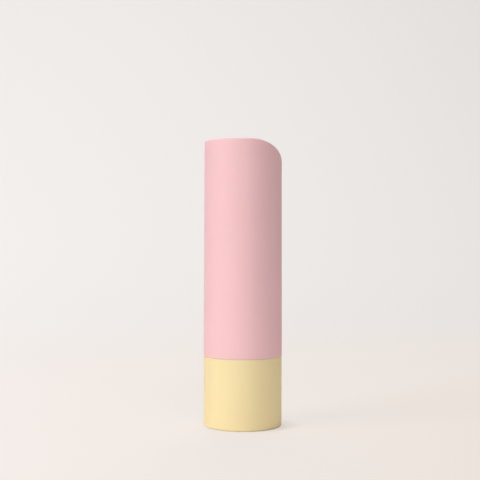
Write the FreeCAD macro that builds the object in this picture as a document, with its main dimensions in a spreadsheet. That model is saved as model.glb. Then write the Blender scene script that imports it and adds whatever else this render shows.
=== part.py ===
import FreeCAD, Part
import math
import os
import re
import Sketcher

# Twist-up lip balm stick: a round cap with a crown that rolls off to one side, a base that is turned
# by hand, and between them a tube in which a screw lifts the balm. Millimetres, +Z up, origin at the
# middle of the foot, the low side of the crown towards +X.

doc = FreeCAD.newDocument("LipBalmStick")
sheet = doc.addObject("Spreadsheet::Sheet", "Sizes")

sizes = (
    ("stick_height", 69.0, "whole stick with the cap on"),
    ("stick_diameter", 19.0, "outside of the cap"),
    ("base_height", 16.9, "foot to the top edge of the base"),
    ("seam_gap", 0.05, "open seam between base and cap"),
    ("base_inset", 0.05, "base wall stands this far inside the cap rim"),
    ("cap_wall", 0.9, "wall of the cap shell"),
    ("crown_flat", 1.98, "flat top reaches this far past the axis"),
    ("crown_radius", 9.98, "first, wide arc of the crown"),
    ("crown_bend", 31.8, "degrees that the wide arc turns"),
    ("shoulder_radius", 4.96, "second, tighter arc down to the wall"),
    ("crown_edge", 0.3, "bevel where the crown meets the wall"),
    ("rim_edge", 0.08, "bevel of the rims that meet at the seam"),
    ("liner_wall", 0.6, "wall of the cap liner"),
    ("liner_fit", 0.04, "liner inside the cap shell, all round"),
    ("liner_headroom", 5.4, "top of the stick down to the liner"),
    ("liner_corner", 0.5, "bevel of the liner's closed end"),
    ("cap_fit", 0.2, "liner over the barrel, all round"),
    ("snap_rise", 3.6, "seam to the middle of the snap bead"),
    ("snap_bead", 0.12, "how far the snap bead stands out"),
    ("snap_width", 1.0, "snap bead along the barrel"),
    ("snap_play", 0.2, "groove is wider than the bead by this on each side"),
    ("barrel_wall", 0.75, "wall of the barrel"),
    ("barrel_mouth", 34.0, "foot of the stick to the barrel's open end"),
    ("mouth_edge", 0.35, "bevel of the barrel's open end"),
    ("collar_height", 1.6, "collar at the top of the base"),
    ("collar_seat", 0.03, "liner rim above the collar"),
    ("flange_height", 1.4, "flange at the barrel's foot"),
    ("turn_fit", 0.1, "collar and flange inside the base, all round"),
    ("end_play", 0.1, "barrel between its two axial stops"),
    ("rib_count", 4, "ribs that keep the carrier from turning"),
    ("rib_width", 0.9, "each rib across"),
    ("rib_depth", 0.5, "each rib inwards from the bore"),
    ("rib_fit", 0.15, "carrier and balm clear of the ribs"),
    ("rib_stop", 1.6, "ribs end this far below the mouth"),
    ("base_wall", 0.95, "wall of the base"),
    ("base_floor", 1.3, "foot of the stick to the inside of the base"),
    ("base_edge", 0.4, "bevel of the foot"),
    ("base_corner", 0.4, "bevel inside, between floor and wall"),
    ("foot_width", 1.5, "flat ring that the stick stands on, with its bevel"),
    ("foot_recess", 0.45, "hollow inside the foot ring"),
    ("keeper_depth", 0.45, "how far the keeper bead stands in"),
    ("keeper_land", 0.4, "straight part of the keeper bead, above the flange"),
    ("keeper_ramp", 0.6, "sloped upper part of the keeper bead"),
    ("drive_width", 7.0, "hexagon that turns the spindle, across its flats"),
    ("drive_height", 1.2, "hexagon above the floor"),
    ("drive_fit", 0.03, "hexagon in its socket, all round"),
    ("hub_fit", 0.7, "disc at the foot of the spindle, clear of the base's corner bevel"),
    ("hub_height", 1.5, "that disc along the axis"),
    ("screw_diameter", 4.5, "over the crest of the lifting thread"),
    ("screw_depth", 0.7, "crest to core of the thread"),
    ("screw_lead", 5.4, "rise of the balm for one turn"),
    ("crest_width", 0.7, "thread ridge at its crest"),
    ("root_width", 1.3, "thread ridge at the core"),
    ("screw_run_out", 0.8, "plain core above and below the thread"),
    ("tip_chamfer", 0.5, "lead-in at the top of the screw"),
    ("thread_fit", 0.15, "nut clear of the thread on every side"),
    ("carrier_stop", 0.4, "carrier's rim below the mouth when it is fully up"),
    ("carrier_play", 0.2, "carrier above the spindle's disc when it is down"),
    ("carrier_fit", 0.12, "carrier inside the barrel, all round"),
    ("carrier_floor", 1.2, "plate under the balm"),
    ("carrier_wall", 0.9, "low rim of the carrier"),
    ("carrier_height", 3.6, "whole carrier along the axis"),
    ("nut_diameter", 7.2, "boss round the thread"),
    ("balm_fit", 0.15, "balm inside the barrel and round the screw"),
    ("cast_fit", 0.03, "balm inside the carrier"),
    ("balm_stand", 0.8, "flat end of the balm above the mouth"),
    ("balm_bevel", 0.8, "bevel round that end"),
    ("balm_roof", 0.4, "free height over the screw in the balm"),
)

for row, (alias, value, note) in enumerate(sizes, start=1):
    sheet.set(f"A{row}", note)
    sheet.set(f"B{row}", str(value))
    sheet.setAlias(f"B{row}", alias)
doc.recompute()

# Sizes that follow from the ones above, each named once
follows = {
    "cap_rim": "base_height + seam_gap",
    "cap_radius": "stick_diameter / 2",
    "cap_bore": "cap_radius - cap_wall",
    "crown_spare": "2 * cap_wall",
    "liner_radius": "cap_bore - liner_fit",
    "liner_bore": "liner_radius - liner_wall",
    "liner_top": "stick_height - liner_headroom",
    "barrel_radius": "liner_bore - cap_fit",
    "barrel_bore": "barrel_radius - barrel_wall",
    "base_radius": "cap_radius - base_inset",
    "base_bore": "base_radius - base_wall",
    "collar_radius": "base_bore - turn_fit",
    "collar_top": "cap_rim - collar_seat",
    "barrel_foot": "base_floor + hub_height + end_play",
    "flange_top": "barrel_foot + flange_height",
    "keeper_rise": "flange_top + end_play",
    "snap_middle": "cap_rim + snap_rise",
    "hub_top": "base_floor + hub_height",
    "hub_radius": "base_bore - base_corner - hub_fit",
    "screw_radius": "screw_diameter / 2",
    "core_radius": "screw_radius - screw_depth",
    "thread_start": "hub_top + screw_run_out",
    "carrier_foot": "hub_top + carrier_play",
    "carrier_top": "carrier_foot + carrier_height",
    "carrier_plate": "carrier_foot + carrier_floor",
    "carrier_radius": "barrel_bore - carrier_fit",
    "carrier_inside": "carrier_radius - carrier_wall",
    "nut_radius": "nut_diameter / 2",
    "carrier_travel": "barrel_mouth - carrier_stop - carrier_top",
    "screw_top": "carrier_top + carrier_travel - screw_run_out",
    "rib_tip": "barrel_bore - rib_depth",
    "rib_top": "barrel_mouth - rib_stop",
    "groove_floor": "rib_tip - rib_fit",
    "groove_width": "rib_width + 2 * rib_fit",
    "balm_radius": "barrel_bore - balm_fit",
    "balm_top": "barrel_mouth + balm_stand",
}
cells = {alias for alias, value, note in sizes}
near_enough = 0.005  # when edges are found by their place


def formula(text):
    # Spells a size out in cells of the sheet
    def spell(word):
        name = word.group(0)
        if name in cells:
            return "Sizes." + name
        if name in follows:
            return "(" + formula(follows[name]) + ")"
        return name
    return re.sub(r"[a-z][a-z_]+", spell, text)


def size(text):
    return float(sheet.evalExpression(formula(text)))


def new_body(name):
    body = doc.addObject("PartDesign::Body", name)
    body.Label = name
    return body


def new_sketch(body, name, role, height="0"):
    sketch = body.newObject("Sketcher::SketchObject", name)
    plane = next(part for part in body.Origin.OriginFeatures if part.Role == role)
    sketch.AttachmentSupport = [(plane, "")]
    sketch.MapMode = "FlatFace"
    if height != "0":
        sketch.setExpression("AttachmentOffset.Base.z", formula(height))
    return sketch


def bind(sketch, kind, text, *where):
    number = sketch.addConstraint(Sketcher.Constraint(kind, *where, size(text)))
    sketch.setExpression(f"Constraints[{number}]", formula(text))


def hold_point(sketch, line, end, across, along):
    # Ties one end of a line to its place in the sketch
    origin = (-1, 1)
    vertical_axis = -2
    if across == "0":
        sketch.addConstraint(Sketcher.Constraint("PointOnObject", line, end, vertical_axis))
    else:
        bind(sketch, "DistanceX", across, *origin, line, end)
    bind(sketch, "DistanceY", along, *origin, line, end)


def outline(sketch, points):
    # Closed outline through the given points, straight from each one to the next
    places = [FreeCAD.Vector(size(across), size(along), 0) for across, along in points]
    count = len(points)
    for here in range(count):
        sketch.addGeometry(Part.LineSegment(places[here], places[(here + 1) % count]))
    for here in range(count):
        sketch.addConstraint(Sketcher.Constraint("Coincident", here, 2, (here + 1) % count, 1))
    for here, (across, along) in enumerate(points):
        hold_point(sketch, here, 1, across, along)


def turned(body, name, points):
    # Solid of revolution about the stick's axis
    sketch = new_sketch(body, name + "_profile", "XZ_Plane")
    outline(sketch, points)
    turn = body.newObject("PartDesign::Revolution", name)
    turn.Profile = sketch
    turn.ReferenceAxis = (sketch, ["V_Axis"])
    turn.Angle = 360.0
    doc.recompute()
    return turn


def bar(sketch, near, far, width):
    # Rectangle that lies along +X, with the axis through its middle
    half = f"{width} / 2"
    corners = ((near, -1), (far, -1), (far, 1), (near, 1))
    places = [FreeCAD.Vector(size(across), side * size(half), 0) for across, side in corners]
    for here in range(4):
        sketch.addGeometry(Part.LineSegment(places[here], places[(here + 1) % 4]))
    for here in range(4):
        sketch.addConstraint(Sketcher.Constraint("Coincident", here, 2, (here + 1) % 4, 1))
    for here in (0, 2):
        sketch.addConstraint(Sketcher.Constraint("Horizontal", here))
    sketch.addConstraint(Sketcher.Constraint("Vertical", 3))
    sketch.addConstraint(Sketcher.Constraint("Symmetric", 1, 1, 1, 2, -1))
    bind(sketch, "DistanceX", near, -1, 1, 0, 1)
    bind(sketch, "DistanceX", far, -1, 1, 1, 1)
    bind(sketch, "DistanceY", width, 1, 1, 1, 2)


def hexagon(sketch, flats):
    # Regular hexagon round the axis, two flats across X
    reach = size(flats) / math.sqrt(3)
    corners = []
    for corner in range(6):
        turn = math.radians(60 * corner + 30)
        corners.append(FreeCAD.Vector(reach * math.cos(turn), reach * math.sin(turn), 0))
    for here in range(6):
        sketch.addGeometry(Part.LineSegment(corners[here], corners[(here + 1) % 6]))
    for here in range(6):
        sketch.addConstraint(Sketcher.Constraint("Coincident", here, 2, (here + 1) % 6, 1))
    ring = sketch.addGeometry(Part.Circle(FreeCAD.Vector(0, 0, 0), FreeCAD.Vector(0, 0, 1), reach), True)
    sketch.addConstraint(Sketcher.Constraint("Coincident", ring, 3, -1, 1))
    for here in range(6):
        sketch.addConstraint(Sketcher.Constraint("PointOnObject", here, 1, ring))
    for here in range(5):
        sketch.addConstraint(Sketcher.Constraint("Equal", here, here + 1))
    sketch.addConstraint(Sketcher.Constraint("Vertical", 2))
    bind(sketch, "Radius", f"({flats}) / sqrt(3)", ring)


def pull(body, kind, name, sketch, length, downwards=False):
    # Pad or Pocket of a given depth, along +Z or down from the sketch
    feature = body.newObject("PartDesign::" + kind, name)
    feature.Profile = sketch
    feature.setExpression("Length", formula(length))
    feature.Reversed = (kind == "Pocket") != downwards
    doc.recompute()
    return feature


def all_round(body, name, feature):
    # Repeats a rib, notch or groove evenly about the axis
    pattern = body.newObject("PartDesign::PolarPattern", name)
    pattern.Originals = [feature]
    axis = next(part for part in body.Origin.OriginFeatures if part.Role == "Z_Axis")
    pattern.Axis = (axis, [""])
    pattern.Angle = 360.0
    pattern.setExpression("Occurrences", formula("rib_count"))
    body.Tip = pattern
    doc.recompute()
    return pattern


def ring_edges(feature, radius, height):
    # Names of the round edges with this radius at this height
    names = []
    for number, edge in enumerate(feature.Shape.Edges, start=1):
        if edge.Degenerated or not isinstance(edge.Curve, Part.Circle):
            continue
        same_radius = abs(edge.Curve.Radius - size(radius)) < near_enough
        same_height = abs(edge.Curve.Center.z - size(height)) < near_enough
        if same_radius and same_height:
            names.append(f"Edge{number}")
    return names


def bevel(body, name, feature, edges, amount):
    # Chamfer on the named edges
    chamfer = body.newObject("PartDesign::Chamfer", name)
    chamfer.Base = (feature, edges)
    chamfer.setExpression("Size", formula(amount))
    doc.recompute()
    return chamfer


def thread_ridge(sketch, core, crest, root_width, crest_width, middle):
    outline(sketch, (
        (core, f"{middle} - ({root_width}) / 2"),
        (crest, f"{middle} - ({crest_width}) / 2"),
        (crest, f"{middle} + ({crest_width}) / 2"),
        (core, f"{middle} + ({root_width}) / 2"),
    ))


def wind(body, kind, name, sketch, height):
    # Left-hand helix about the stick's axis
    helix = body.newObject("PartDesign::" + kind, name)
    helix.Profile = sketch
    helix.ReferenceAxis = (sketch, ["V_Axis"])
    helix.Mode = "pitch-height-angle"
    helix.LeftHanded = True
    helix.setExpression("Pitch", formula("screw_lead"))
    helix.setExpression("Height", formula(height))
    doc.recompute()
    return helix


def crown_cut(sketch):
    # Everything above the crown: flat, then a wide arc, then a tighter one past the wall
    flat = size("crown_flat")
    top = size("stick_height")
    wide = size("crown_radius")
    tight = size("shoulder_radius")
    bend = math.radians(size("crown_bend"))
    side = size("stick_diameter")
    above = size("stick_height + 2 * crown_spare")
    wide_middle = FreeCAD.Vector(flat, top - wide, 0)
    reach = wide - tight
    tight_middle = wide_middle + FreeCAD.Vector(reach * math.sin(bend), reach * math.cos(bend), 0)
    up = FreeCAD.Vector(0, 0, 1)
    quarter = math.pi / 2
    tight_end = FreeCAD.Vector(tight_middle.x + tight, tight_middle.y, 0)
    corners = (
        FreeCAD.Vector(-side, above, 0),
        FreeCAD.Vector(-side, top, 0),
        FreeCAD.Vector(flat, top, 0),
        FreeCAD.Vector(side, tight_middle.y, 0),
        FreeCAD.Vector(side, above, 0),
    )
    left = sketch.addGeometry(Part.LineSegment(corners[0], corners[1]))
    plateau = sketch.addGeometry(Part.LineSegment(corners[1], corners[2]))
    wide_circle = Part.Circle(wide_middle, up, wide)
    tight_circle = Part.Circle(tight_middle, up, tight)
    roll = sketch.addGeometry(Part.ArcOfCircle(wide_circle, quarter - bend, quarter))
    shoulder = sketch.addGeometry(Part.ArcOfCircle(tight_circle, 0, quarter - bend))
    ledge = sketch.addGeometry(Part.LineSegment(tight_end, corners[3]))
    right = sketch.addGeometry(Part.LineSegment(corners[3], corners[4]))
    lid = sketch.addGeometry(Part.LineSegment(corners[4], corners[0]))
    sketch.addConstraint(Sketcher.Constraint("Coincident", left, 2, plateau, 1))
    sketch.addConstraint(Sketcher.Constraint("Tangent", plateau, 2, roll, 2))
    sketch.addConstraint(Sketcher.Constraint("Tangent", roll, 1, shoulder, 2))
    sketch.addConstraint(Sketcher.Constraint("Coincident", shoulder, 1, ledge, 1))
    sketch.addConstraint(Sketcher.Constraint("Coincident", ledge, 2, right, 1))
    sketch.addConstraint(Sketcher.Constraint("Coincident", right, 2, lid, 1))
    sketch.addConstraint(Sketcher.Constraint("Coincident", lid, 2, left, 1))
    for line in (plateau, ledge, lid):
        sketch.addConstraint(Sketcher.Constraint("Horizontal", line))
    for line in (left, right):
        sketch.addConstraint(Sketcher.Constraint("Vertical", line))
    sketch.addConstraint(Sketcher.Constraint("Horizontal", shoulder, 3, shoulder, 1))
    bind(sketch, "DistanceX", "crown_flat", -1, 1, plateau, 2)
    bind(sketch, "DistanceY", "stick_height", -1, 1, plateau, 2)
    bind(sketch, "Radius", "crown_radius", roll)
    bind(sketch, "Radius", "shoulder_radius", shoulder)
    bind(sketch, "DistanceX", "(crown_radius - shoulder_radius) * sin(crown_bend)", roll, 3, shoulder, 3)
    bind(sketch, "DistanceX", "stick_diameter", left, 1, -1, 1)
    bind(sketch, "DistanceX", "stick_diameter", -1, 1, right, 1)
    bind(sketch, "DistanceY", "stick_height + 2 * crown_spare", -1, 1, lid, 1)


def outer_crown_edges(shape):
    # Edges where the crown meets the outside wall
    low = size("stick_height - crown_radius")
    names = []
    for number, edge in enumerate(shape.Edges, start=1):
        spots = edge.discretize(7)
        if min(spot.z for spot in spots) < low:
            continue
        off_wall = [abs(math.hypot(spot.x, spot.y) - size("cap_radius")) for spot in spots]
        if max(off_wall) < near_enough:
            names.append(f"Edge{number}")
    return names


def make_cap_shell():
    body = new_body("cap_shell")
    turned(body, "cap_blank", (
        ("0", "cap_rim"),
        ("cap_radius", "cap_rim"),
        ("cap_radius", "stick_height + crown_spare"),
        ("0", "stick_height + crown_spare"),
    ))
    sketch = new_sketch(body, "crown_outline", "XZ_Plane")
    crown_cut(sketch)
    crown = body.newObject("PartDesign::Pocket", "crown")
    crown.Profile = sketch
    crown.Midplane = True
    crown.setExpression("Length", formula("2 * stick_diameter"))
    doc.recompute()
    rim_face = min(range(len(crown.Shape.Faces)), key=lambda at: crown.Shape.Faces[at].CenterOfMass.z)
    hollow = body.newObject("PartDesign::Thickness", "cap_hollow")
    hollow.Base = (crown, [f"Face{rim_face + 1}"])
    hollow.setExpression("Value", formula("cap_wall"))
    hollow.Reversed = True
    hollow.Join = "Arc"
    hollow.Intersection = True
    doc.recompute()
    edge = bevel(body, "crown_bevel", hollow, outer_crown_edges(hollow.Shape), "crown_edge")
    bevel(body, "rim_bevel", edge, ring_edges(edge, "cap_radius", "cap_rim"), "rim_edge")
    return body


def make_cap_liner():
    body = new_body("cap_liner")
    low = "snap_middle - snap_width / 2 - snap_play"
    high = "snap_middle + snap_width / 2 + snap_play"
    floor = "liner_bore + snap_bead"
    cup = turned(body, "liner_cup", (
        ("liner_bore", "cap_rim"),
        ("liner_radius", "cap_rim"),
        ("liner_radius", "liner_top"),
        ("0", "liner_top"),
        ("0", "liner_top - liner_wall"),
        ("liner_bore", "liner_top - liner_wall"),
        ("liner_bore", f"{high} + snap_bead"),
        (floor, high),
        (floor, low),
        ("liner_bore", f"{low} - snap_bead"),
    ))
    bevel(body, "closed_end", cup, ring_edges(cup, "liner_radius", "liner_top"), "liner_corner")
    return body


def make_barrel():
    body = new_body("barrel")
    tube = turned(body, "barrel_tube", (
        ("barrel_bore", "barrel_foot"),
        ("collar_radius", "barrel_foot"),
        ("collar_radius", "flange_top"),
        ("barrel_radius", "flange_top"),
        ("barrel_radius", "collar_top - collar_height"),
        ("collar_radius", "collar_top - collar_height"),
        ("collar_radius", "collar_top"),
        ("barrel_radius", "collar_top"),
        ("barrel_radius", "snap_middle - snap_width / 2"),
        ("barrel_radius + snap_bead", "snap_middle"),
        ("barrel_radius", "snap_middle + snap_width / 2"),
        ("barrel_radius", "barrel_mouth"),
        ("barrel_bore", "barrel_mouth"),
    ))
    bevel(body, "mouth_bevel", tube, ring_edges(tube, "barrel_radius", "barrel_mouth"), "mouth_edge")
    sketch = new_sketch(body, "rib_outline", "XY_Plane", "carrier_foot")
    bar(sketch, "rib_tip", "barrel_bore + barrel_wall / 2", "rib_width")
    rib = pull(body, "Pad", "rib", sketch, "rib_top - carrier_foot")
    all_round(body, "ribs", rib)
    return body


def make_base_shell():
    body = new_body("base_shell")
    keeper_radius = "base_bore - keeper_depth"
    cup = turned(body, "base_cup", (
        ("0", "foot_recess"),
        ("base_radius - foot_width", "foot_recess"),
        ("base_radius - foot_width", "0"),
        ("base_radius", "0"),
        ("base_radius", "base_height"),
        ("base_bore", "base_height"),
        ("base_bore", "keeper_rise + keeper_land + keeper_ramp"),
        (keeper_radius, "keeper_rise + keeper_land"),
        (keeper_radius, "keeper_rise"),
        ("base_bore", "keeper_rise"),
        ("base_bore", "base_floor"),
        ("0", "base_floor"),
    ))
    foot = bevel(body, "foot_bevel", cup, ring_edges(cup, "base_radius", "0"), "base_edge")
    corner = bevel(body, "floor_bevel", foot, ring_edges(foot, "base_bore", "base_floor"), "base_corner")
    bevel(body, "rim_bevel", corner, ring_edges(corner, "base_radius", "base_height"), "rim_edge")
    sketch = new_sketch(body, "drive_outline", "XY_Plane", "base_floor")
    hexagon(sketch, "drive_width")
    pull(body, "Pad", "drive", sketch, "drive_height")
    return body


def make_spindle():
    body = new_body("spindle")
    turned(body, "spindle_core", (
        ("0", "base_floor"),
        ("hub_radius", "base_floor"),
        ("hub_radius", "hub_top"),
        ("core_radius", "hub_top"),
        ("core_radius", "screw_top - tip_chamfer"),
        ("core_radius - tip_chamfer", "screw_top"),
        ("0", "screw_top"),
    ))
    socket = new_sketch(body, "socket_outline", "XY_Plane", "base_floor")
    hexagon(socket, "drive_width + 2 * drive_fit")
    pull(body, "Pocket", "socket", socket, "drive_height + drive_fit")
    ridge = new_sketch(body, "thread_outline", "XZ_Plane")
    sunk = "core_radius - screw_depth / 4"
    thread_ridge(ridge, sunk, "screw_radius", "root_width", "crest_width", "thread_start")
    wind(body, "AdditiveHelix", "lifting_thread", ridge, "screw_top - screw_run_out - thread_start")
    return body


def make_carrier():
    body = new_body("carrier")
    bore = "core_radius + thread_fit"
    turned(body, "carrier_dish", (
        (bore, "carrier_foot"),
        ("carrier_radius", "carrier_foot"),
        ("carrier_radius", "carrier_top"),
        ("carrier_inside", "carrier_top"),
        ("carrier_inside", "carrier_plate"),
        ("nut_radius", "carrier_plate"),
        ("nut_radius", "carrier_top"),
        (bore, "carrier_top"),
    ))
    sketch = new_sketch(body, "notch_outline", "XY_Plane", "carrier_foot")
    bar(sketch, "groove_floor", "barrel_radius", "groove_width")
    notch = pull(body, "Pocket", "notch", sketch, "carrier_height")
    all_round(body, "notches", notch)
    ridge = new_sketch(body, "nut_outline", "XZ_Plane")
    start = "thread_start - 2 * screw_lead"
    sunk = "core_radius - screw_depth / 4"
    crest = "screw_radius + thread_fit"
    thread_ridge(ridge, sunk, crest, "root_width + 2 * thread_fit", "crest_width + 2 * thread_fit", start)
    wind(body, "SubtractiveHelix", "nut_thread", ridge, "carrier_height + 4 * screw_lead")
    return body


def make_balm():
    body = new_body("balm")
    boss = "nut_radius + cast_fit"
    hole = "screw_radius + balm_fit"
    step = "carrier_top + cast_fit"
    roof = "screw_top + balm_roof"
    cast = turned(body, "balm_cast", (
        (boss, "carrier_plate"),
        ("carrier_inside - cast_fit", "carrier_plate"),
        ("carrier_inside - cast_fit", step),
        ("balm_radius", step),
        ("balm_radius", "balm_top"),
        ("0", "balm_top"),
        ("0", roof),
        (hole, roof),
        (hole, step),
        (boss, step),
    ))
    bevel(body, "end_bevel", cast, ring_edges(cast, "balm_radius", "balm_top"), "balm_bevel")
    groove_outline = new_sketch(body, "groove_outline", "XY_Plane", "carrier_top")
    bar(groove_outline, "groove_floor", "barrel_radius", "groove_width")
    groove = pull(body, "Pocket", "groove", groove_outline, "rib_top + rib_fit - carrier_top")
    all_round(body, "grooves", groove)
    return body


nodes = [
    make_cap_shell(),
    make_cap_liner(),
    make_barrel(),
    make_base_shell(),
    make_spindle(),
    make_carrier(),
    make_balm(),
]
doc.recompute()

faults = [item.Label for item in doc.Objects if {"Invalid", "Error"} & set(item.State)]
for node in nodes:
    if node.Shape.isNull() or not node.Shape.isValid() or len(node.Shape.Solids) != 1:
        faults.append(node.Label)
if faults:
    raise RuntimeError("not built: " + ", ".join(faults))

os.makedirs("parts", exist_ok=True)
for node in nodes:
    node.Shape.exportStep(f"parts/{node.Label}.step")
    box = node.Shape.BoundBox
    print(f"{node.Label}: {node.Shape.Volume:.1f} mm3, z {box.ZMin:.2f} to {box.ZMax:.2f}, x to {box.XMax:.2f}")
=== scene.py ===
import bmesh
import bpy
import math
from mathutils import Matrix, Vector


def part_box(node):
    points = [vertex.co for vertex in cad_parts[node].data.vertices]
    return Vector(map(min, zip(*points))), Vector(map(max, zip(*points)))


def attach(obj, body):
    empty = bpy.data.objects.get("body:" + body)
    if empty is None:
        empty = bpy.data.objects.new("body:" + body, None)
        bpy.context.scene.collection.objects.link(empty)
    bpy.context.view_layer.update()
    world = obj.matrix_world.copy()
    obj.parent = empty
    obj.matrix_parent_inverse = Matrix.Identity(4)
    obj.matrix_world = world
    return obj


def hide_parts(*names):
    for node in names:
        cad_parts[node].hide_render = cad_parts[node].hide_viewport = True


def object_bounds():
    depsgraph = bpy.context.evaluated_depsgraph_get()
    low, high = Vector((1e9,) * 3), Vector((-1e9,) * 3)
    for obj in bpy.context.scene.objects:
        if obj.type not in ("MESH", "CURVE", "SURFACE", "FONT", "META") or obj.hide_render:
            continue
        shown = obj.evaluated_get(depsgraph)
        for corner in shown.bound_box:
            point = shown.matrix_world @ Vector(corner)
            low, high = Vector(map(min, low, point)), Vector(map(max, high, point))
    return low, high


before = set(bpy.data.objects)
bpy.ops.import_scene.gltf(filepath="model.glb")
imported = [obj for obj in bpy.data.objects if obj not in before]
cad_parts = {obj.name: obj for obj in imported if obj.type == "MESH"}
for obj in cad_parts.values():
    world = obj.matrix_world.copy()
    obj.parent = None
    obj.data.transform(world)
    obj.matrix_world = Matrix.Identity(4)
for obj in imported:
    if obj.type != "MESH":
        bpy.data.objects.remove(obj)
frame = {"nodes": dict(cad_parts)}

# Twist-up lip balm stick, modelled over its CAD frame. Metres, +Z up, low side of the crown towards +X.
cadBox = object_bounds()
mm = 0.001
fullTurn = 2 * math.pi
weld = 0.0005 * mm  # merges only what a spin leaves double
nearby = 0.01 * mm  # how close a picked vertex lies to its place
facing = 0.5  # least share of a normal that counts as looking in a direction
smoothAngle = math.radians(40)  # flatter edges than this are shaded smooth
print("frame loaded:", ", ".join(frame["nodes"]))


# Tools that every piece uses

def startClean():
    if bpy.context.mode != "OBJECT":
        bpy.ops.object.mode_set(mode="OBJECT")
    bpy.ops.object.select_all(action="DESELECT")


def takeUp(piece):
    startClean()
    piece.select_set(True)
    bpy.context.view_layer.objects.active = piece


def drawProfile(name, points, side=0.0):
    # a small plane is merged to one vertex, which is then extruded from point to point
    startClean()
    bpy.ops.mesh.primitive_plane_add(size=mm, location=(0, 0, 0))
    piece = bpy.context.object
    piece.name = name
    piece.data.name = name
    bpy.ops.object.mode_set(mode="EDIT")
    bpy.ops.mesh.select_mode(type="VERT")
    bpy.ops.mesh.merge(type="CENTER")
    places = [Vector((across, side, up)) for across, up in points]
    bpy.ops.transform.translate(value=places[0])
    for here, there in zip(places, places[1:]):
        bpy.ops.mesh.extrude_region_move(TRANSFORM_OT_translate={"value": there - here})
    return piece


def heldProfile(points, hold):
    # adds a point on each side of a corner, so that long walls stay flat in smooth shading
    held = [points[0]]
    for (across, up), (nextAcross, nextUp) in zip(points, points[1:]):
        length = math.hypot(nextAcross - across, nextUp - up)
        if length > 3 * hold:
            for share in (hold / length, 1 - hold / length):
                held.append((across + share * (nextAcross - across), up + share * (nextUp - up)))
        held.append((nextAcross, nextUp))
    return held


def spinRound(columns):
    bpy.ops.mesh.select_all(action="SELECT")
    bpy.ops.mesh.spin(steps=columns, angle=fullTurn, center=(0, 0, 0), axis=(0, 0, 1))
    bpy.ops.mesh.select_all(action="SELECT")
    bpy.ops.mesh.remove_doubles(threshold=weld)
    bpy.ops.mesh.normals_make_consistent(inside=False)


def radiusOf(vertex):
    return math.hypot(vertex.co.x, vertex.co.y)


def pick(piece, kind, test):
    # selects the vertices, edges or faces for which the test holds
    bpy.ops.mesh.select_mode(type={"verts": "VERT", "edges": "EDGE", "faces": "FACE"}[kind])
    bpy.ops.mesh.select_all(action="DESELECT")
    cage = bmesh.from_edit_mesh(piece.data)
    for part in getattr(cage, kind):
        if test(part):
            part.select_set(True)
    bmesh.update_edit_mesh(piece.data)


def roundRing(piece, radius, up, width, steps=4):
    # bevels the ring of edges at this radius and height
    def onRing(edge):
        return all(abs(radiusOf(v) - radius) < nearby and abs(v.co.z - up) < nearby for v in edge.verts)
    pick(piece, "edges", onRing)
    bpy.ops.mesh.bevel(offset=width, segments=steps, affect="EDGES")


def combine(piece, tool, operation):
    # joins or cuts one piece with another, which is then removed
    takeUp(piece)
    bpy.ops.object.modifier_add(type="BOOLEAN")
    boolean = piece.modifiers[-1]
    boolean.object = tool
    boolean.operation = operation
    boolean.solver = "EXACT"
    bpy.ops.object.modifier_apply(modifier=boolean.name)
    bpy.data.objects.remove(tool)


def finishPiece(piece, body, slot, material, *nodes):
    takeUp(piece)
    bpy.ops.object.shade_smooth_by_angle(angle=smoothAngle)
    piece.data.materials.append(material)
    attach(piece, body)
    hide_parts(*nodes)
    print("piece done:", piece.name, len(piece.data.polygons), "faces")


# Materials: one maker, with a look for each plastic and one for the cast balm

def newMaterial(name):
    material = bpy.data.materials.new(name)
    material.use_nodes = True
    return material, material.node_tree.nodes, material.node_tree.links


def addNoise(nodes, links, place, size, detail=2.0):
    noise = nodes.new("ShaderNodeTexNoise")
    noise.inputs["Scale"].default_value = 1 / size
    noise.inputs["Detail"].default_value = detail
    links.new(place.outputs["Object"], noise.inputs["Vector"])
    return noise


def makeMaterial(name, look):
    material, nodes, links = newMaterial(name)
    shader = nodes["Principled BSDF"]
    place = nodes.new("ShaderNodeTexCoord")

    # faint clouding of the pigment
    cloud = addNoise(nodes, links, place, look["cloudSize"])
    tint = nodes.new("ShaderNodeMix")
    tint.data_type = "RGBA"
    tint.inputs["A"].default_value = (*[value * (1 - look["cloud"]) for value in look["colour"]], 1)
    tint.inputs["B"].default_value = (*[value * (1 + look["cloud"]) for value in look["colour"]], 1)
    links.new(cloud.outputs["Fac"], tint.inputs["Factor"])
    links.new(tint.outputs["Result"], shader.inputs["Base Color"])

    # gloss that differs a little from spot to spot
    polish = addNoise(nodes, links, place, look["polishSize"])
    gloss = nodes.new("ShaderNodeMapRange")
    gloss.inputs["To Min"].default_value = look["roughness"] - look["roughnessSpread"]
    gloss.inputs["To Max"].default_value = look["roughness"] + look["roughnessSpread"]
    links.new(polish.outputs["Fac"], gloss.inputs["Value"])
    links.new(gloss.outputs["Result"], shader.inputs["Roughness"])

    # fine grain of the surface
    grain = addNoise(nodes, links, place, look["grainSize"], detail=3.0)
    bump = nodes.new("ShaderNodeBump")
    bump.inputs["Strength"].default_value = look["grainStrength"]
    bump.inputs["Distance"].default_value = look["grainDepth"]
    links.new(grain.outputs["Fac"], bump.inputs["Height"])
    links.new(bump.outputs["Normal"], shader.inputs["Normal"])

    shader.inputs["Specular IOR Level"].default_value = look["specular"]
    shader.inputs["Subsurface Weight"].default_value = look["subsurface"]
    shader.inputs["Subsurface Radius"].default_value = look["subsurfaceRadius"]
    shader.inputs["Subsurface Scale"].default_value = look["subsurfaceScale"]
    print("material done:", name)
    return material


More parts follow.
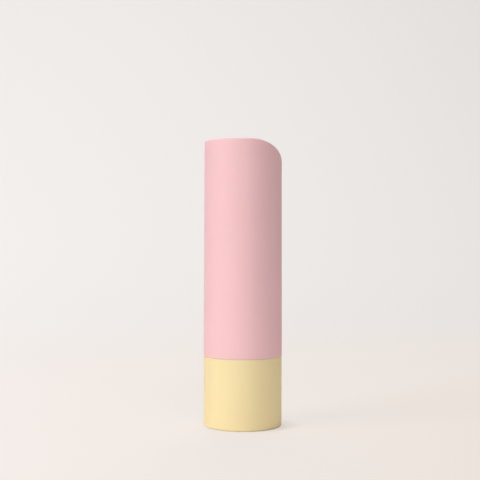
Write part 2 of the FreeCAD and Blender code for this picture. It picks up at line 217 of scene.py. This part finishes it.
pinkLook = {
    "colour": (0.866, 0.541, 0.562),
    "cloud": 0.012,
    "cloudSize": 6 * mm,
    "roughness": 0.52,
    "roughnessSpread": 0.03,
    "polishSize": 2.5 * mm,
    "grainSize": 0.16 * mm,
    "grainStrength": 0.25,
    "grainDepth": 0.006 * mm,
    "specular": 0.16,
    "subsurface": 0.12,
    "subsurfaceRadius": (1.0, 0.55, 0.5),
    "subsurfaceScale": 0.6 * mm,
}

yellowLook = dict(
    pinkLook,
    colour=(0.855, 0.711, 0.402),
    subsurfaceRadius=(1.0, 0.8, 0.4),
)

milkyLook = dict(
    pinkLook,
    colour=(0.84, 0.82, 0.78),
    cloud=0.01,
    roughness=0.36,
    grainStrength=0.12,
    specular=0.5,
    subsurface=0.25,
    subsurfaceRadius=(1.0, 0.95, 0.9),
)

balmLook = {
    "colour": (0.88, 0.79, 0.66),
    "cloud": 0.03,
    "cloudSize": 3 * mm,
    "roughness": 0.4,
    "roughnessSpread": 0.08,
    "polishSize": 1.2 * mm,
    "grainSize": 0.5 * mm,
    "grainStrength": 0.2,
    "grainDepth": 0.02 * mm,
    "specular": 0.5,
    "subsurface": 0.4,
    "subsurfaceRadius": (1.0, 0.7, 0.45),
    "subsurfaceScale": 1.2 * mm,
}

pinkPlastic = makeMaterial("pinkPlastic", pinkLook)
yellowPlastic = makeMaterial("yellowPlastic", yellowLook)
milkyPlastic = makeMaterial("milkyPlastic", milkyLook)
creamBalm = makeMaterial("creamBalm", balmLook)


# Cap shell: a spun cup whose top is laid on the crown's sheet

capShape = {
    "columns": 144,
    "wall": 0.9 * mm,
    "taper": 0.11 * mm,  # radius lost from rim to crown
    "crownFlat": 1.98 * mm,  # flat top ends this far past the axis
    "crownRadius": 9.98 * mm,
    "crownBend": math.radians(31.8),
    "shoulderRadius": 4.96 * mm,
    "crownEdge": 0.4 * mm,
    "crownSteps": 5,
    "rimEdge": 0.045 * mm,
    "hold": 0.7 * mm,
    "rings": 20,
    "sheetSteps": 48,
    "sheetReach": 1.5,  # times the cap's radius
    "wallTilt": 0.02,  # most that a wall's normal points up or down
}


def crownSheet(inset):
    # the crown as an open sheet along Y: flat, wide arc, tight arc
    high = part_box("cap_shell")[1]
    reach = capShape["sheetReach"] * high.x
    flatEnd = capShape["crownFlat"]
    bend = capShape["crownBend"]
    wideMiddle = Vector((flatEnd, -reach, high.z - capShape["crownRadius"]))
    lead = capShape["crownRadius"] - capShape["shoulderRadius"]
    tightMiddle = wideMiddle + lead * Vector((math.sin(bend), 0, math.cos(bend)))
    steps = capShape["sheetSteps"]
    sheet = drawProfile("crownSheet", [(-reach, high.z - inset), (flatEnd, high.z - inset)], side=-reach)
    bpy.ops.mesh.spin(steps=steps, angle=bend, center=wideMiddle, axis=(0, -1, 0))
    bpy.ops.mesh.spin(steps=steps, angle=fullTurn / 4 - bend, center=tightMiddle, axis=(0, -1, 0))
    bpy.ops.mesh.select_all(action="SELECT")
    bpy.ops.mesh.extrude_region_move(TRANSFORM_OT_translate={"value": (0, 2 * reach, 0)})
    return sheet


def layOnSheet(piece, level, inset):
    # vertices at this level go straight up or down to the crown's sheet
    sheet = crownSheet(inset)
    takeUp(piece)
    bpy.ops.object.mode_set(mode="EDIT")
    pick(piece, "verts", lambda v: abs(v.co.z - level) < nearby)
    bpy.ops.object.vertex_group_assign_new()
    bpy.ops.object.mode_set(mode="OBJECT")
    bpy.ops.object.modifier_add(type="SHRINKWRAP")
    wrap = piece.modifiers[-1]
    wrap.target = sheet
    wrap.vertex_group = piece.vertex_groups[-1].name
    wrap.wrap_method = "PROJECT"
    wrap.use_project_z = True
    wrap.use_negative_direction = True
    bpy.ops.object.modifier_apply(modifier=wrap.name)
    bpy.ops.object.vertex_group_remove(all=True)
    bpy.data.objects.remove(sheet)


def makeCapShell():
    low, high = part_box("cap_shell")
    wall = capShape["wall"]
    rimRadius = high.x
    topRadius = rimRadius - capShape["taper"]
    bore = rimRadius - wall
    roof = high.z - wall
    rings = capShape["rings"]
    shares = [(ring + 0.5) / rings for ring in range(rings)]
    hold = capShape["hold"]
    topRings = [(share * (topRadius - hold), high.z) for share in shares]
    roofRings = [(share * (bore - hold), roof) for share in reversed(shares)]
    cap = drawProfile("capShell", [
        (0, high.z),
        *topRings,
        (topRadius - hold, high.z),
        (topRadius, high.z),
        (rimRadius, low.z),
        (bore, low.z),
        (bore, roof),
        (bore - hold, roof),
        *roofRings,
        (0, roof),
    ])
    spinRound(capShape["columns"])
    layOnSheet(cap, roof, wall)  # the roof first, while no other vertex lies at its level
    layOnSheet(cap, high.z, 0)
    bpy.ops.object.mode_set(mode="EDIT")

    def onWall(face):
        outwards = face.normal.dot(face.calc_center_median()) > 0
        return outwards and abs(face.normal.z) < capShape["wallTilt"]

    def onCrownEdge(edge):
        sides = [onWall(face) for face in edge.link_faces]
        return sum(sides) == 1 and max(v.co.z for v in edge.verts) > low.z + nearby

    pick(cap, "edges", lambda edge: onCrownEdge(edge) and min(radiusOf(v) for v in edge.verts) > bore)
    bpy.ops.mesh.bevel(offset=capShape["crownEdge"], segments=capShape["crownSteps"], affect="EDGES")
    roundRing(cap, rimRadius, low.z, capShape["rimEdge"])
    roundRing(cap, bore, low.z, capShape["rimEdge"])
    outerWall = (rimRadius + bore) / 2
    pick(cap, "faces", lambda face: onWall(face) and min(radiusOf(v) for v in face.verts) > outerWall)
    bpy.ops.mesh.inset(thickness=hold, depth=0, use_even_offset=True)
    finishPiece(cap, "cap", "cap_plastic", pinkPlastic, "cap_shell")


makeCapShell()


# Base shell: spun cup with a foot ring, keeper bead and the hexagon that turns the spindle

baseShape = {
    "columns": 144,
    "wall": 0.95 * mm,
    "floor": 1.3 * mm,
    "footWidth": 1.5 * mm,
    "footRecess": 0.45 * mm,
    "footEdge": 0.5 * mm,
    "rimEdge": 0.045 * mm,
    "keeperFoot": 4.4 * mm,
    "keeperDepth": 0.45 * mm,
    "keeperLand": 0.4 * mm,
    "keeperRamp": 0.6 * mm,
    "gateRadius": 0.9 * mm,  # moulding gate in the middle of the recess
    "gateHeight": 0.12 * mm,
    "driveWidth": 7.0 * mm,  # hexagon across its flats
    "driveHeight": 1.2 * mm,
    "driveEdge": 0.12 * mm,
    "cornerEdge": 0.4 * mm,
    "hold": 0.5 * mm,
}


def makeDrive():
    # hexagon block that stands on the base's floor, sunk into it a little
    shape = baseShape
    sunk = shape["floor"] / 3
    depth = shape["driveHeight"] + sunk
    top = shape["floor"] + shape["driveHeight"]
    startClean()
    bpy.ops.mesh.primitive_cylinder_add(
        vertices=6, radius=shape["driveWidth"] / math.sqrt(3), depth=depth, location=(0, 0, top - depth / 2)
    )
    drive = bpy.context.object
    bpy.ops.object.transform_apply(location=True)
    bpy.ops.object.mode_set(mode="EDIT")
    pick(drive, "edges", lambda edge: all(v.co.z > top - nearby for v in edge.verts))
    bpy.ops.mesh.bevel(offset=shape["driveEdge"], segments=2, affect="EDGES")
    startClean()
    return drive


def makeBaseShell():
    low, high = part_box("base_shell")
    shape = baseShape
    radius = high.x
    bore = radius - shape["wall"]
    recess = low.z + shape["footRecess"]
    ringInside = radius - shape["footWidth"]
    keeper = bore - shape["keeperDepth"]
    landTop = shape["keeperFoot"] + shape["keeperLand"]
    base = drawProfile("baseShell", heldProfile([
        (0, recess - shape["gateHeight"]),
        (shape["gateRadius"], recess - shape["gateHeight"]),
        (shape["gateRadius"], recess),
        (ringInside, recess),
        (ringInside, low.z),
        (radius, low.z),
        (radius, high.z),
        (bore, high.z),
        (bore, landTop + shape["keeperRamp"]),
        (keeper, landTop),
        (keeper, shape["keeperFoot"]),
        (bore, shape["keeperFoot"]),
        (bore, shape["floor"]),
        (0, shape["floor"]),
    ], shape["hold"]))
    spinRound(shape["columns"])
    roundRing(base, radius, low.z, shape["footEdge"], steps=5)
    roundRing(base, ringInside, low.z, shape["rimEdge"])
    roundRing(base, radius, high.z, shape["rimEdge"])
    roundRing(base, bore, high.z, shape["rimEdge"])
    roundRing(base, bore, shape["floor"], shape["cornerEdge"])
    combine(base, makeDrive(), "UNION")
    finishPiece(base, "base", "base_plastic", yellowPlastic, "base_shell")


makeBaseShell()


# Cap liner: thin spun cup, with the groove that snaps over the barrel's bead

linerShape = {
    "columns": 144,
    "wall": 0.6 * mm,
    "corner": 0.5 * mm,
    "innerCorner": 0.3 * mm,
    "rimEdge": 0.1 * mm,
    "grooveMiddle": 20.55 * mm,
    "grooveHalf": 0.7 * mm,
    "grooveDepth": 0.12 * mm,
    "hold": 0.6 * mm,
}


def makeCapLiner():
    low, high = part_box("cap_liner")
    shape = linerShape
    radius = high.x
    bore = radius - shape["wall"]
    roof = high.z - shape["wall"]
    depth = shape["grooveDepth"]
    grooveTop = shape["grooveMiddle"] + shape["grooveHalf"]
    grooveFoot = shape["grooveMiddle"] - shape["grooveHalf"]
    liner = drawProfile("capLiner", heldProfile([
        (0, high.z),
        (radius, high.z),
        (radius, low.z),
        (bore, low.z),
        (bore, grooveFoot - depth),
        (bore + depth, grooveFoot),
        (bore + depth, grooveTop),
        (bore, grooveTop + depth),
        (bore, roof),
        (0, roof),
    ], shape["hold"]))
    spinRound(shape["columns"])
    roundRing(liner, radius, high.z, shape["corner"])
    roundRing(liner, bore, roof, shape["innerCorner"])
    roundRing(liner, bore, low.z, shape["rimEdge"])
    finishPiece(liner, "cap", "natural_plastic", milkyPlastic, "cap_liner")


makeCapLiner()


# Barrel: spun tube with collar, flange and snap bead, and four ribs pulled out of its bore

barrelShape = {
    "columns": 144,
    "wall": 0.75 * mm,
    "radius": 7.76 * mm,
    "flangeTop": 4.3 * mm,
    "collarFoot": 15.32 * mm,
    "collarTop": 16.92 * mm,
    "collarEdge": 0.12 * mm,
    "beadMiddle": 20.55 * mm,
    "beadHalf": 0.5 * mm,
    "beadHeight": 0.12 * mm,
    "beadEdge": 0.35 * mm,
    "mouthEdge": 0.35 * mm,
    "boreEdge": 0.15 * mm,
    "ribCount": 4,
    "ribColumns": 3,
    "ribDepth": 0.5 * mm,
    "ribFoot": 3.0 * mm,
    "ribTop": 32.4 * mm,
    "hold": 0.5 * mm,
}


def turnOf(spot, count):
    # angle from the nearest of so many even directions round the axis
    step = fullTurn / count
    return abs((math.atan2(spot.y, spot.x) + step / 2) % step - step / 2)


def makeBarrel():
    low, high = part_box("barrel")
    shape = barrelShape
    collar = high.x
    radius = shape["radius"]
    bore = radius - shape["wall"]
    column = fullTurn / shape["columns"]
    barrel = drawProfile("barrelTube", heldProfile([
        (bore, low.z),
        (collar, low.z),
        (collar, shape["flangeTop"]),
        (radius, shape["flangeTop"]),
        (radius, shape["collarFoot"]),
        (collar, shape["collarFoot"]),
        (collar, shape["collarTop"]),
        (radius, shape["collarTop"]),
        (radius, shape["beadMiddle"] - shape["beadHalf"]),
        (radius + shape["beadHeight"], shape["beadMiddle"]),
        (radius, shape["beadMiddle"] + shape["beadHalf"]),
        (radius, high.z),
        (bore, high.z),
        (bore, shape["ribTop"]),
        (bore, shape["ribFoot"]),
        (bore, low.z),
    ], shape["hold"]))
    # half a column round, so that a rib's middle lies on the axis
    bpy.ops.mesh.select_all(action="SELECT")
    bpy.ops.transform.rotate(value=column / 2, orient_axis="Z", center_override=(0, 0, 0))
    spinRound(shape["columns"])
    roundRing(barrel, radius, high.z, shape["mouthEdge"])
    roundRing(barrel, bore, high.z, shape["boreEdge"])
    for up in (low.z, shape["flangeTop"], shape["collarFoot"], shape["collarTop"]):
        roundRing(barrel, collar, up, shape["collarEdge"], steps=3)
    roundRing(barrel, radius + shape["beadHeight"], shape["beadMiddle"], shape["beadEdge"], steps=6)

    def onRib(face):
        middle = face.calc_center_median()
        inwards = face.normal.x * middle.x + face.normal.y * middle.y < -facing * bore
        level = shape["ribFoot"] < middle.z < shape["ribTop"]
        return inwards and level and turnOf(middle, shape["ribCount"]) < shape["ribColumns"] * column / 2

    pick(barrel, "faces", onRib)
    bpy.ops.mesh.extrude_region_shrink_fatten(TRANSFORM_OT_shrink_fatten={"value": shape["ribDepth"]})
    finishPiece(barrel, "tube", "natural_plastic", milkyPlastic, "barrel")


makeBarrel()


# Balm: spun stick with a rounded end and the grooves that the ribs leave in it

balmShape = {
    "columns": 144,
    "screwHole": 2.4 * mm,
    "roof": 33.2 * mm,
    "nutHole": 3.63 * mm,
    "footRadius": 5.96 * mm,
    "step": 6.63 * mm,
    "endEdge": 0.8 * mm,
    "endDome": 0.12 * mm,  # the end is a little higher in the middle
    "grooveFloor": 6.36 * mm,
    "grooveWidth": 1.2 * mm,
    "grooveTop": 32.55 * mm,
    "grooveCount": 4,
    "grooveCorner": 0.3 * mm,  # the groove's floor is rounded into its sides
    "grooveLip": 0.15 * mm,  # rounding where a groove opens to the wall
    "lipBends": (math.radians(25), math.radians(50), math.radians(75)),
    "lipRunOut": 0.3 * mm,  # past the last bend the bar goes straight on, out of the wall
    "hold": 1.2 * mm,
}


def makeGrooveBars():
    # one bar as long as a groove, flared to a round lip where it leaves the wall, copied round the axis
    shape = balmShape
    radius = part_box("balm")[1].x
    width = shape["grooveWidth"]
    lip = shape["grooveLip"]
    lipStart = math.sqrt(radius ** 2 - (width / 2 + lip) ** 2) - lip
    deep = lipStart - shape["grooveFloor"]
    foot = shape["step"] - width
    tall = shape["grooveTop"] - foot
    middle = foot + tall / 2
    startClean()
    bpy.ops.mesh.primitive_cube_add(size=1, location=(0, 0, 0))
    bars = bpy.context.object
    bpy.ops.object.mode_set(mode="EDIT")
    bpy.ops.transform.resize(value=(deep, width, tall))
    bpy.ops.transform.translate(value=(shape["grooveFloor"] + deep / 2, 0, middle))

    flare = [(lipStart, 0)]
    for bend in shape["lipBends"]:
        flare.append((lipStart + lip * math.sin(bend), lip * (1 - math.cos(bend))))
    lastOut, lastGrown = flare[-1]
    runOut = shape["lipRunOut"]
    lastBend = shape["lipBends"][-1]
    flare.append((lastOut + runOut * math.cos(lastBend), lastGrown + runOut * math.sin(lastBend)))
    pick(bars, "faces", lambda face: face.normal.x > facing)
    for (out, grown), (nextOut, nextGrown) in zip(flare, flare[1:]):
        bpy.ops.mesh.extrude_region_move(TRANSFORM_OT_translate={"value": (nextOut - out, 0, 0)})
        wider = (width + 2 * nextGrown) / (width + 2 * grown)
        taller = (tall + 2 * nextGrown) / (tall + 2 * grown)
        bpy.ops.transform.resize(value=(1, wider, taller), center_override=(nextOut, 0, middle))

    pick(bars, "edges", lambda edge: all(v.co.x < shape["grooveFloor"] + nearby for v in edge.verts))
    bpy.ops.mesh.bevel(offset=shape["grooveCorner"], segments=4, affect="EDGES")
    bpy.ops.mesh.select_all(action="SELECT")
    bpy.ops.mesh.normals_make_consistent(inside=False)
    for copy in range(shape["grooveCount"] - 1):
        bpy.ops.mesh.duplicate()
        bpy.ops.transform.rotate(
            value=fullTurn / shape["grooveCount"], orient_axis="Z", center_override=(0, 0, 0)
        )
    startClean()
    return bars


def makeBalm():
    low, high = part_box("balm")
    shape = balmShape
    radius = high.x
    rim = high.z - shape["endDome"]
    balm = drawProfile("balmStick", heldProfile([
        (0, high.z),
        (radius, rim),
        (radius, shape["step"]),
        (shape["footRadius"], shape["step"]),
        (shape["footRadius"], low.z),
        (shape["nutHole"], low.z),
        (shape["nutHole"], shape["step"]),
        (shape["screwHole"], shape["step"]),
        (shape["screwHole"], shape["roof"]),
        (0, shape["roof"]),
    ], shape["hold"]))
    spinRound(shape["columns"])
    roundRing(balm, radius, rim, shape["endEdge"], steps=8)
    combine(balm, makeGrooveBars(), "DIFFERENCE")
    finishPiece(balm, "carriage", "balm_wax", creamBalm, "balm")


makeBalm()

# The screw and its nut keep their CAD shape
for node in ("spindle", "carrier"):
    frame["nodes"][node].material_slots[0].material = milkyPlastic
print("CAD nodes kept: spindle, carrier")


# Floor and backdrop in one sweep

stageShape = {
    "width": 9.0,
    "front": -4.5,
    "back": 0.6,
    "sweepRadius": 0.6,
    "sweepSteps": 32,
    "height": 1.0,
    "roughness": 0.9,
    "specular": 0.1,
    # paper tones with painted shade: darker on the right, as the light from the left falls off
    "floorLeft": (0.913, 0.855, 0.822),
    "floorRight": (0.851, 0.781, 0.729),
    "wallLeft": (0.894, 0.863, 0.838),
    "wallRight": (0.807, 0.78, 0.757),
    "floorReach": (0.02, 0.4),  # between these depths the floor's tones go over to the wall's
    "bandStart": 0.25,  # the band of painted shade in which left goes over to right is wider further back
    "bandFront": -0.06,  # in front of this it keeps its width
    "bandSlope": 0.23,
    "fallUp": 0.04,  # painted shade: tone lost from floor to the top of the picture
    "fallHeight": 0.4,
    "glow": 0.82,  # share of the seen paper that is its plain tone
    "shadeMiddle": (0.002, 0.0003, 0),  # the painted shade round the foot lies a little to the right
    "footGlow": 0.5,  # plain share in that painted shade
    "footReach": (0.0088, 0.0125),
    "nearBounce": (0.8, 0.745, 0.705),  # painted light: a brighter paper tone near the stick's foot, only for what the paper throws back on the stick
    "farBounce": (0.5, 0.465, 0.44),
    "bounceReach": (0.03, 0.15),
    "contactBounce": 0.35,  # share of it left in the painted shade under the foot's edge
    "contactReach": (0.008, 0.0096),
}


def addMath(nodes, links, operation, first, second):
    # one math node, whose inputs are links or plain numbers
    reckoner = nodes.new("ShaderNodeMath")
    reckoner.operation = operation
    for socket, source in zip(reckoner.inputs, (first, second)):
        if isinstance(source, (int, float)):
            socket.default_value = source
        else:
            links.new(source, socket)
    return reckoner.outputs["Value"]


def addRange(nodes, links, value, fromMin, fromMax, toMin=0.0, toMax=1.0, interpolation="LINEAR"):
    span = nodes.new("ShaderNodeMapRange")
    span.interpolation_type = interpolation
    limits = {"From Min": fromMin, "From Max": fromMax, "To Min": toMin, "To Max": toMax}
    for socket, number in limits.items():
        span.inputs[socket].default_value = number
    links.new(value, span.inputs["Value"])
    return span.outputs["Result"]


def addBlend(nodes, links, factor, first, second):
    # mixes two colours, which are links or plain values
    blend = nodes.new("ShaderNodeMix")
    blend.data_type = "RGBA"
    for socket, source in (("A", first), ("B", second)):
        if isinstance(source, tuple):
            blend.inputs[socket].default_value = (*source, 1)
        else:
            links.new(source, blend.inputs[socket])
    links.new(factor, blend.inputs["Factor"])
    return blend.outputs["Result"]


def addScale(nodes, links, tone, factor):
    scale = nodes.new("ShaderNodeVectorMath")
    scale.operation = "SCALE"
    links.new(tone, scale.inputs[0])
    links.new(factor, scale.inputs["Scale"])
    return scale.outputs["Vector"]


def addSeen(nodes, links, lit, looked):
    # one shader for what the stage throws on the stick, another for what is looked at, also in a reflection
    path = nodes.new("ShaderNodeLightPath").outputs
    direct = addMath(nodes, links, "MAXIMUM", path["Is Camera Ray"], path["Is Glossy Ray"])
    either = addMath(nodes, links, "MAXIMUM", direct, path["Is Transmission Ray"])
    both = nodes.new("ShaderNodeMixShader")
    links.new(either, both.inputs["Fac"])
    links.new(lit, both.inputs[1])
    links.new(looked, both.inputs[2])
    return both.outputs["Shader"]


def paperMaterial():
    shape = stageShape
    material, nodes, links = newMaterial("paperSweep")
    paper = nodes["Principled BSDF"]
    paper.inputs["Roughness"].default_value = shape["roughness"]
    paper.inputs["Specular IOR Level"].default_value = shape["specular"]
    place = nodes.new("ShaderNodeTexCoord").outputs["Object"]
    apart = nodes.new("ShaderNodeSeparateXYZ")
    links.new(place, apart.inputs["Vector"])

    # painted shade: warm floor and cooler wall, both painted darker to the right, where the light from the
    # left falls off
    back = addMath(nodes, links, "MAXIMUM", apart.outputs["Y"], shape["bandFront"])
    band = addMath(nodes, links, "ADD", back, shape["bandStart"])
    slope = addMath(nodes, links, "DIVIDE", apart.outputs["X"], band)
    across = addRange(nodes, links, slope, -shape["bandSlope"], shape["bandSlope"])
    floor = addBlend(nodes, links, across, shape["floorLeft"], shape["floorRight"])
    wall = addBlend(nodes, links, across, shape["wallLeft"], shape["wallRight"])
    depth = addRange(nodes, links, apart.outputs["Y"], *shape["floorReach"], interpolation="SMOOTHSTEP")
    # painted shade: the paper darker towards the top
    fallUp = addRange(nodes, links, apart.outputs["Z"], 0, shape["fallHeight"], 1, 1 - shape["fallUp"])
    tone = addScale(nodes, links, addBlend(nodes, links, depth, floor, wall), fallUp)
    links.new(tone, paper.inputs["Base Color"])

    # what is seen is partly the plain tone, and the rest keeps the shadow; in a painted shade round the
    # foot, a little to the right, the plain share is lower, so the shadow there is deeper
    offset = nodes.new("ShaderNodeVectorMath")
    offset.operation = "DISTANCE"
    offset.inputs[1].default_value = shape["shadeMiddle"]
    links.new(place, offset.inputs[0])
    reach = offset.outputs["Value"]
    glow = nodes.new("ShaderNodeEmission")
    links.new(tone, glow.inputs["Color"])
    seen = nodes.new("ShaderNodeMixShader")
    # painted shade: less plain tone in a ring round the foot
    plain = addRange(nodes, links, reach, *shape["footReach"], shape["footGlow"], shape["glow"])
    links.new(plain, seen.inputs["Fac"])
    links.new(paper.outputs["BSDF"], seen.inputs[1])
    links.new(glow.outputs["Emission"], seen.inputs[2])

    # painted light and shade for what bounces on the stick: brighter paper round its foot, and a darker
    # painted ring right under its edge
    far = addRange(nodes, links, reach, *shape["bounceReach"], interpolation="SMOOTHSTEP")
    thrown = addBlend(nodes, links, far, shape["nearBounce"], shape["farBounce"])
    # painted shade: a darker ring under the foot's edge
    contact = addRange(nodes, links, reach, *shape["contactReach"], shape["contactBounce"], 1)
    bounce = nodes.new("ShaderNodeBsdfDiffuse")
    links.new(addScale(nodes, links, thrown, contact), bounce.inputs["Color"])
    both = addSeen(nodes, links, bounce.outputs["BSDF"], seen.outputs["Shader"])
    links.new(both, nodes["Material Output"].inputs["Surface"])
    return material


def makeSweep():
    startClean()
    bpy.ops.mesh.primitive_plane_add(size=1, location=(0, 0, 0))
    sweep = bpy.context.object
    sweep.name = "studioSweep"
    depth = stageShape["back"] - stageShape["front"]
    bpy.ops.object.mode_set(mode="EDIT")
    bpy.ops.transform.resize(value=(stageShape["width"], depth, 1))
    bpy.ops.transform.translate(value=(0, stageShape["front"] + depth / 2, 0))
    pick(sweep, "edges", lambda edge: all(v.co.y > stageShape["back"] - nearby for v in edge.verts))
    turnMiddle = (0, stageShape["back"], stageShape["sweepRadius"])
    steps = stageShape["sweepSteps"]
    bpy.ops.mesh.spin(steps=steps, angle=fullTurn / 4, center=turnMiddle, axis=(-1, 0, 0))
    bpy.ops.mesh.extrude_region_move(TRANSFORM_OT_translate={"value": (0, 0, stageShape["height"])})
    bpy.ops.mesh.select_all(action="SELECT")
    bpy.ops.mesh.remove_doubles(threshold=weld)
    takeUp(sweep)
    bpy.ops.object.shade_smooth()
    sweep.data.materials.append(paperMaterial())
    print("stage done: sweep")


makeSweep()


# Light: a large soft lamp from the left, weaker ones from the right, behind and overhead, and a pale world

lightSetup = {
    "lamps": {  # azimuths in degrees to the left of the camera's own direction
        "windowLight": {"azimuth": 60, "elevation": 25, "distance": 2.0, "size": 1.2, "power": 28.0},
        "fillLight": {"azimuth": -15, "elevation": 25, "distance": 2.0, "size": 1.2, "power": 14.2},
        "sideLight": {"azimuth": -95, "elevation": 25, "distance": 2.0, "size": 1.2, "power": 1.4},
        # on the stick's side of the backdrop
        "backLight": {"azimuth": 180, "elevation": 45, "distance": 1.2, "size": 0.8, "power": 5.0},
        "overheadLight": {"azimuth": 0, "elevation": 90, "distance": 2.0, "size": 2.0, "power": 3.0},
    },
    "worldColour": (0.97, 0.99, 1.0),
    "worldStrength": 0.2,
    "skyTone": (0.9, 0.87, 0.845),  # what is seen past the edge of the paper
}


def addLamp(name, setup):
    startClean()
    azimuth = math.radians(setup["azimuth"])
    elevation = math.radians(setup["elevation"])
    level = math.cos(elevation)
    towards = Vector((-math.sin(azimuth) * level, -math.cos(azimuth) * level, math.sin(elevation)))
    aim = Vector((0, 0, cadBox[1].z / 2))
    bpy.ops.object.light_add(type="AREA", location=aim + towards * setup["distance"])
    lamp = bpy.context.object
    lamp.name = name
    lamp.rotation_euler = towards.to_track_quat("Z", "Y").to_euler()
    lamp.data.shape = "SQUARE"
    lamp.data.size = setup["size"]
    lamp.data.energy = setup["power"]


def lightScene():
    setup = lightSetup
    for name, lamp in setup["lamps"].items():
        addLamp(name, lamp)
    world = bpy.data.worlds.new("studioWorld")
    bpy.context.scene.world = world
    world.use_nodes = True
    nodes = world.node_tree.nodes
    links = world.node_tree.links
    light = nodes["Background"]
    light.inputs["Color"].default_value = (*setup["worldColour"], 1)
    light.inputs["Strength"].default_value = setup["worldStrength"]
    sky = nodes.new("ShaderNodeBackground")
    sky.inputs["Color"].default_value = (*setup["skyTone"], 1)
    both = addSeen(nodes, links, light.outputs["Background"], sky.outputs["Background"])
    links.new(both, nodes["World Output"].inputs["Surface"])
    print("light done")


lightScene()


# Camera: level, straight on, as in the photograph

cameraSetup = {
    "place": (-0.000725, -0.252277, 0.04503),
    "lens": 77.75,
    "sensor": 36.0,
    "clipStart": 0.01,
    "roll": math.radians(-0.13),
}


def placeCamera():
    startClean()
    level = (fullTurn / 4, cameraSetup["roll"], 0)
    bpy.ops.object.camera_add(location=cameraSetup["place"], rotation=level)
    camera = bpy.context.object
    camera.name = "photoCamera"
    camera.data.lens = cameraSetup["lens"]
    camera.data.sensor_width = cameraSetup["sensor"]
    camera.data.clip_start = cameraSetup["clipStart"]
    bpy.context.scene.camera = camera
    bpy.context.scene.view_settings.view_transform = "Standard"
    print("camera done")


placeCamera()

startClean()
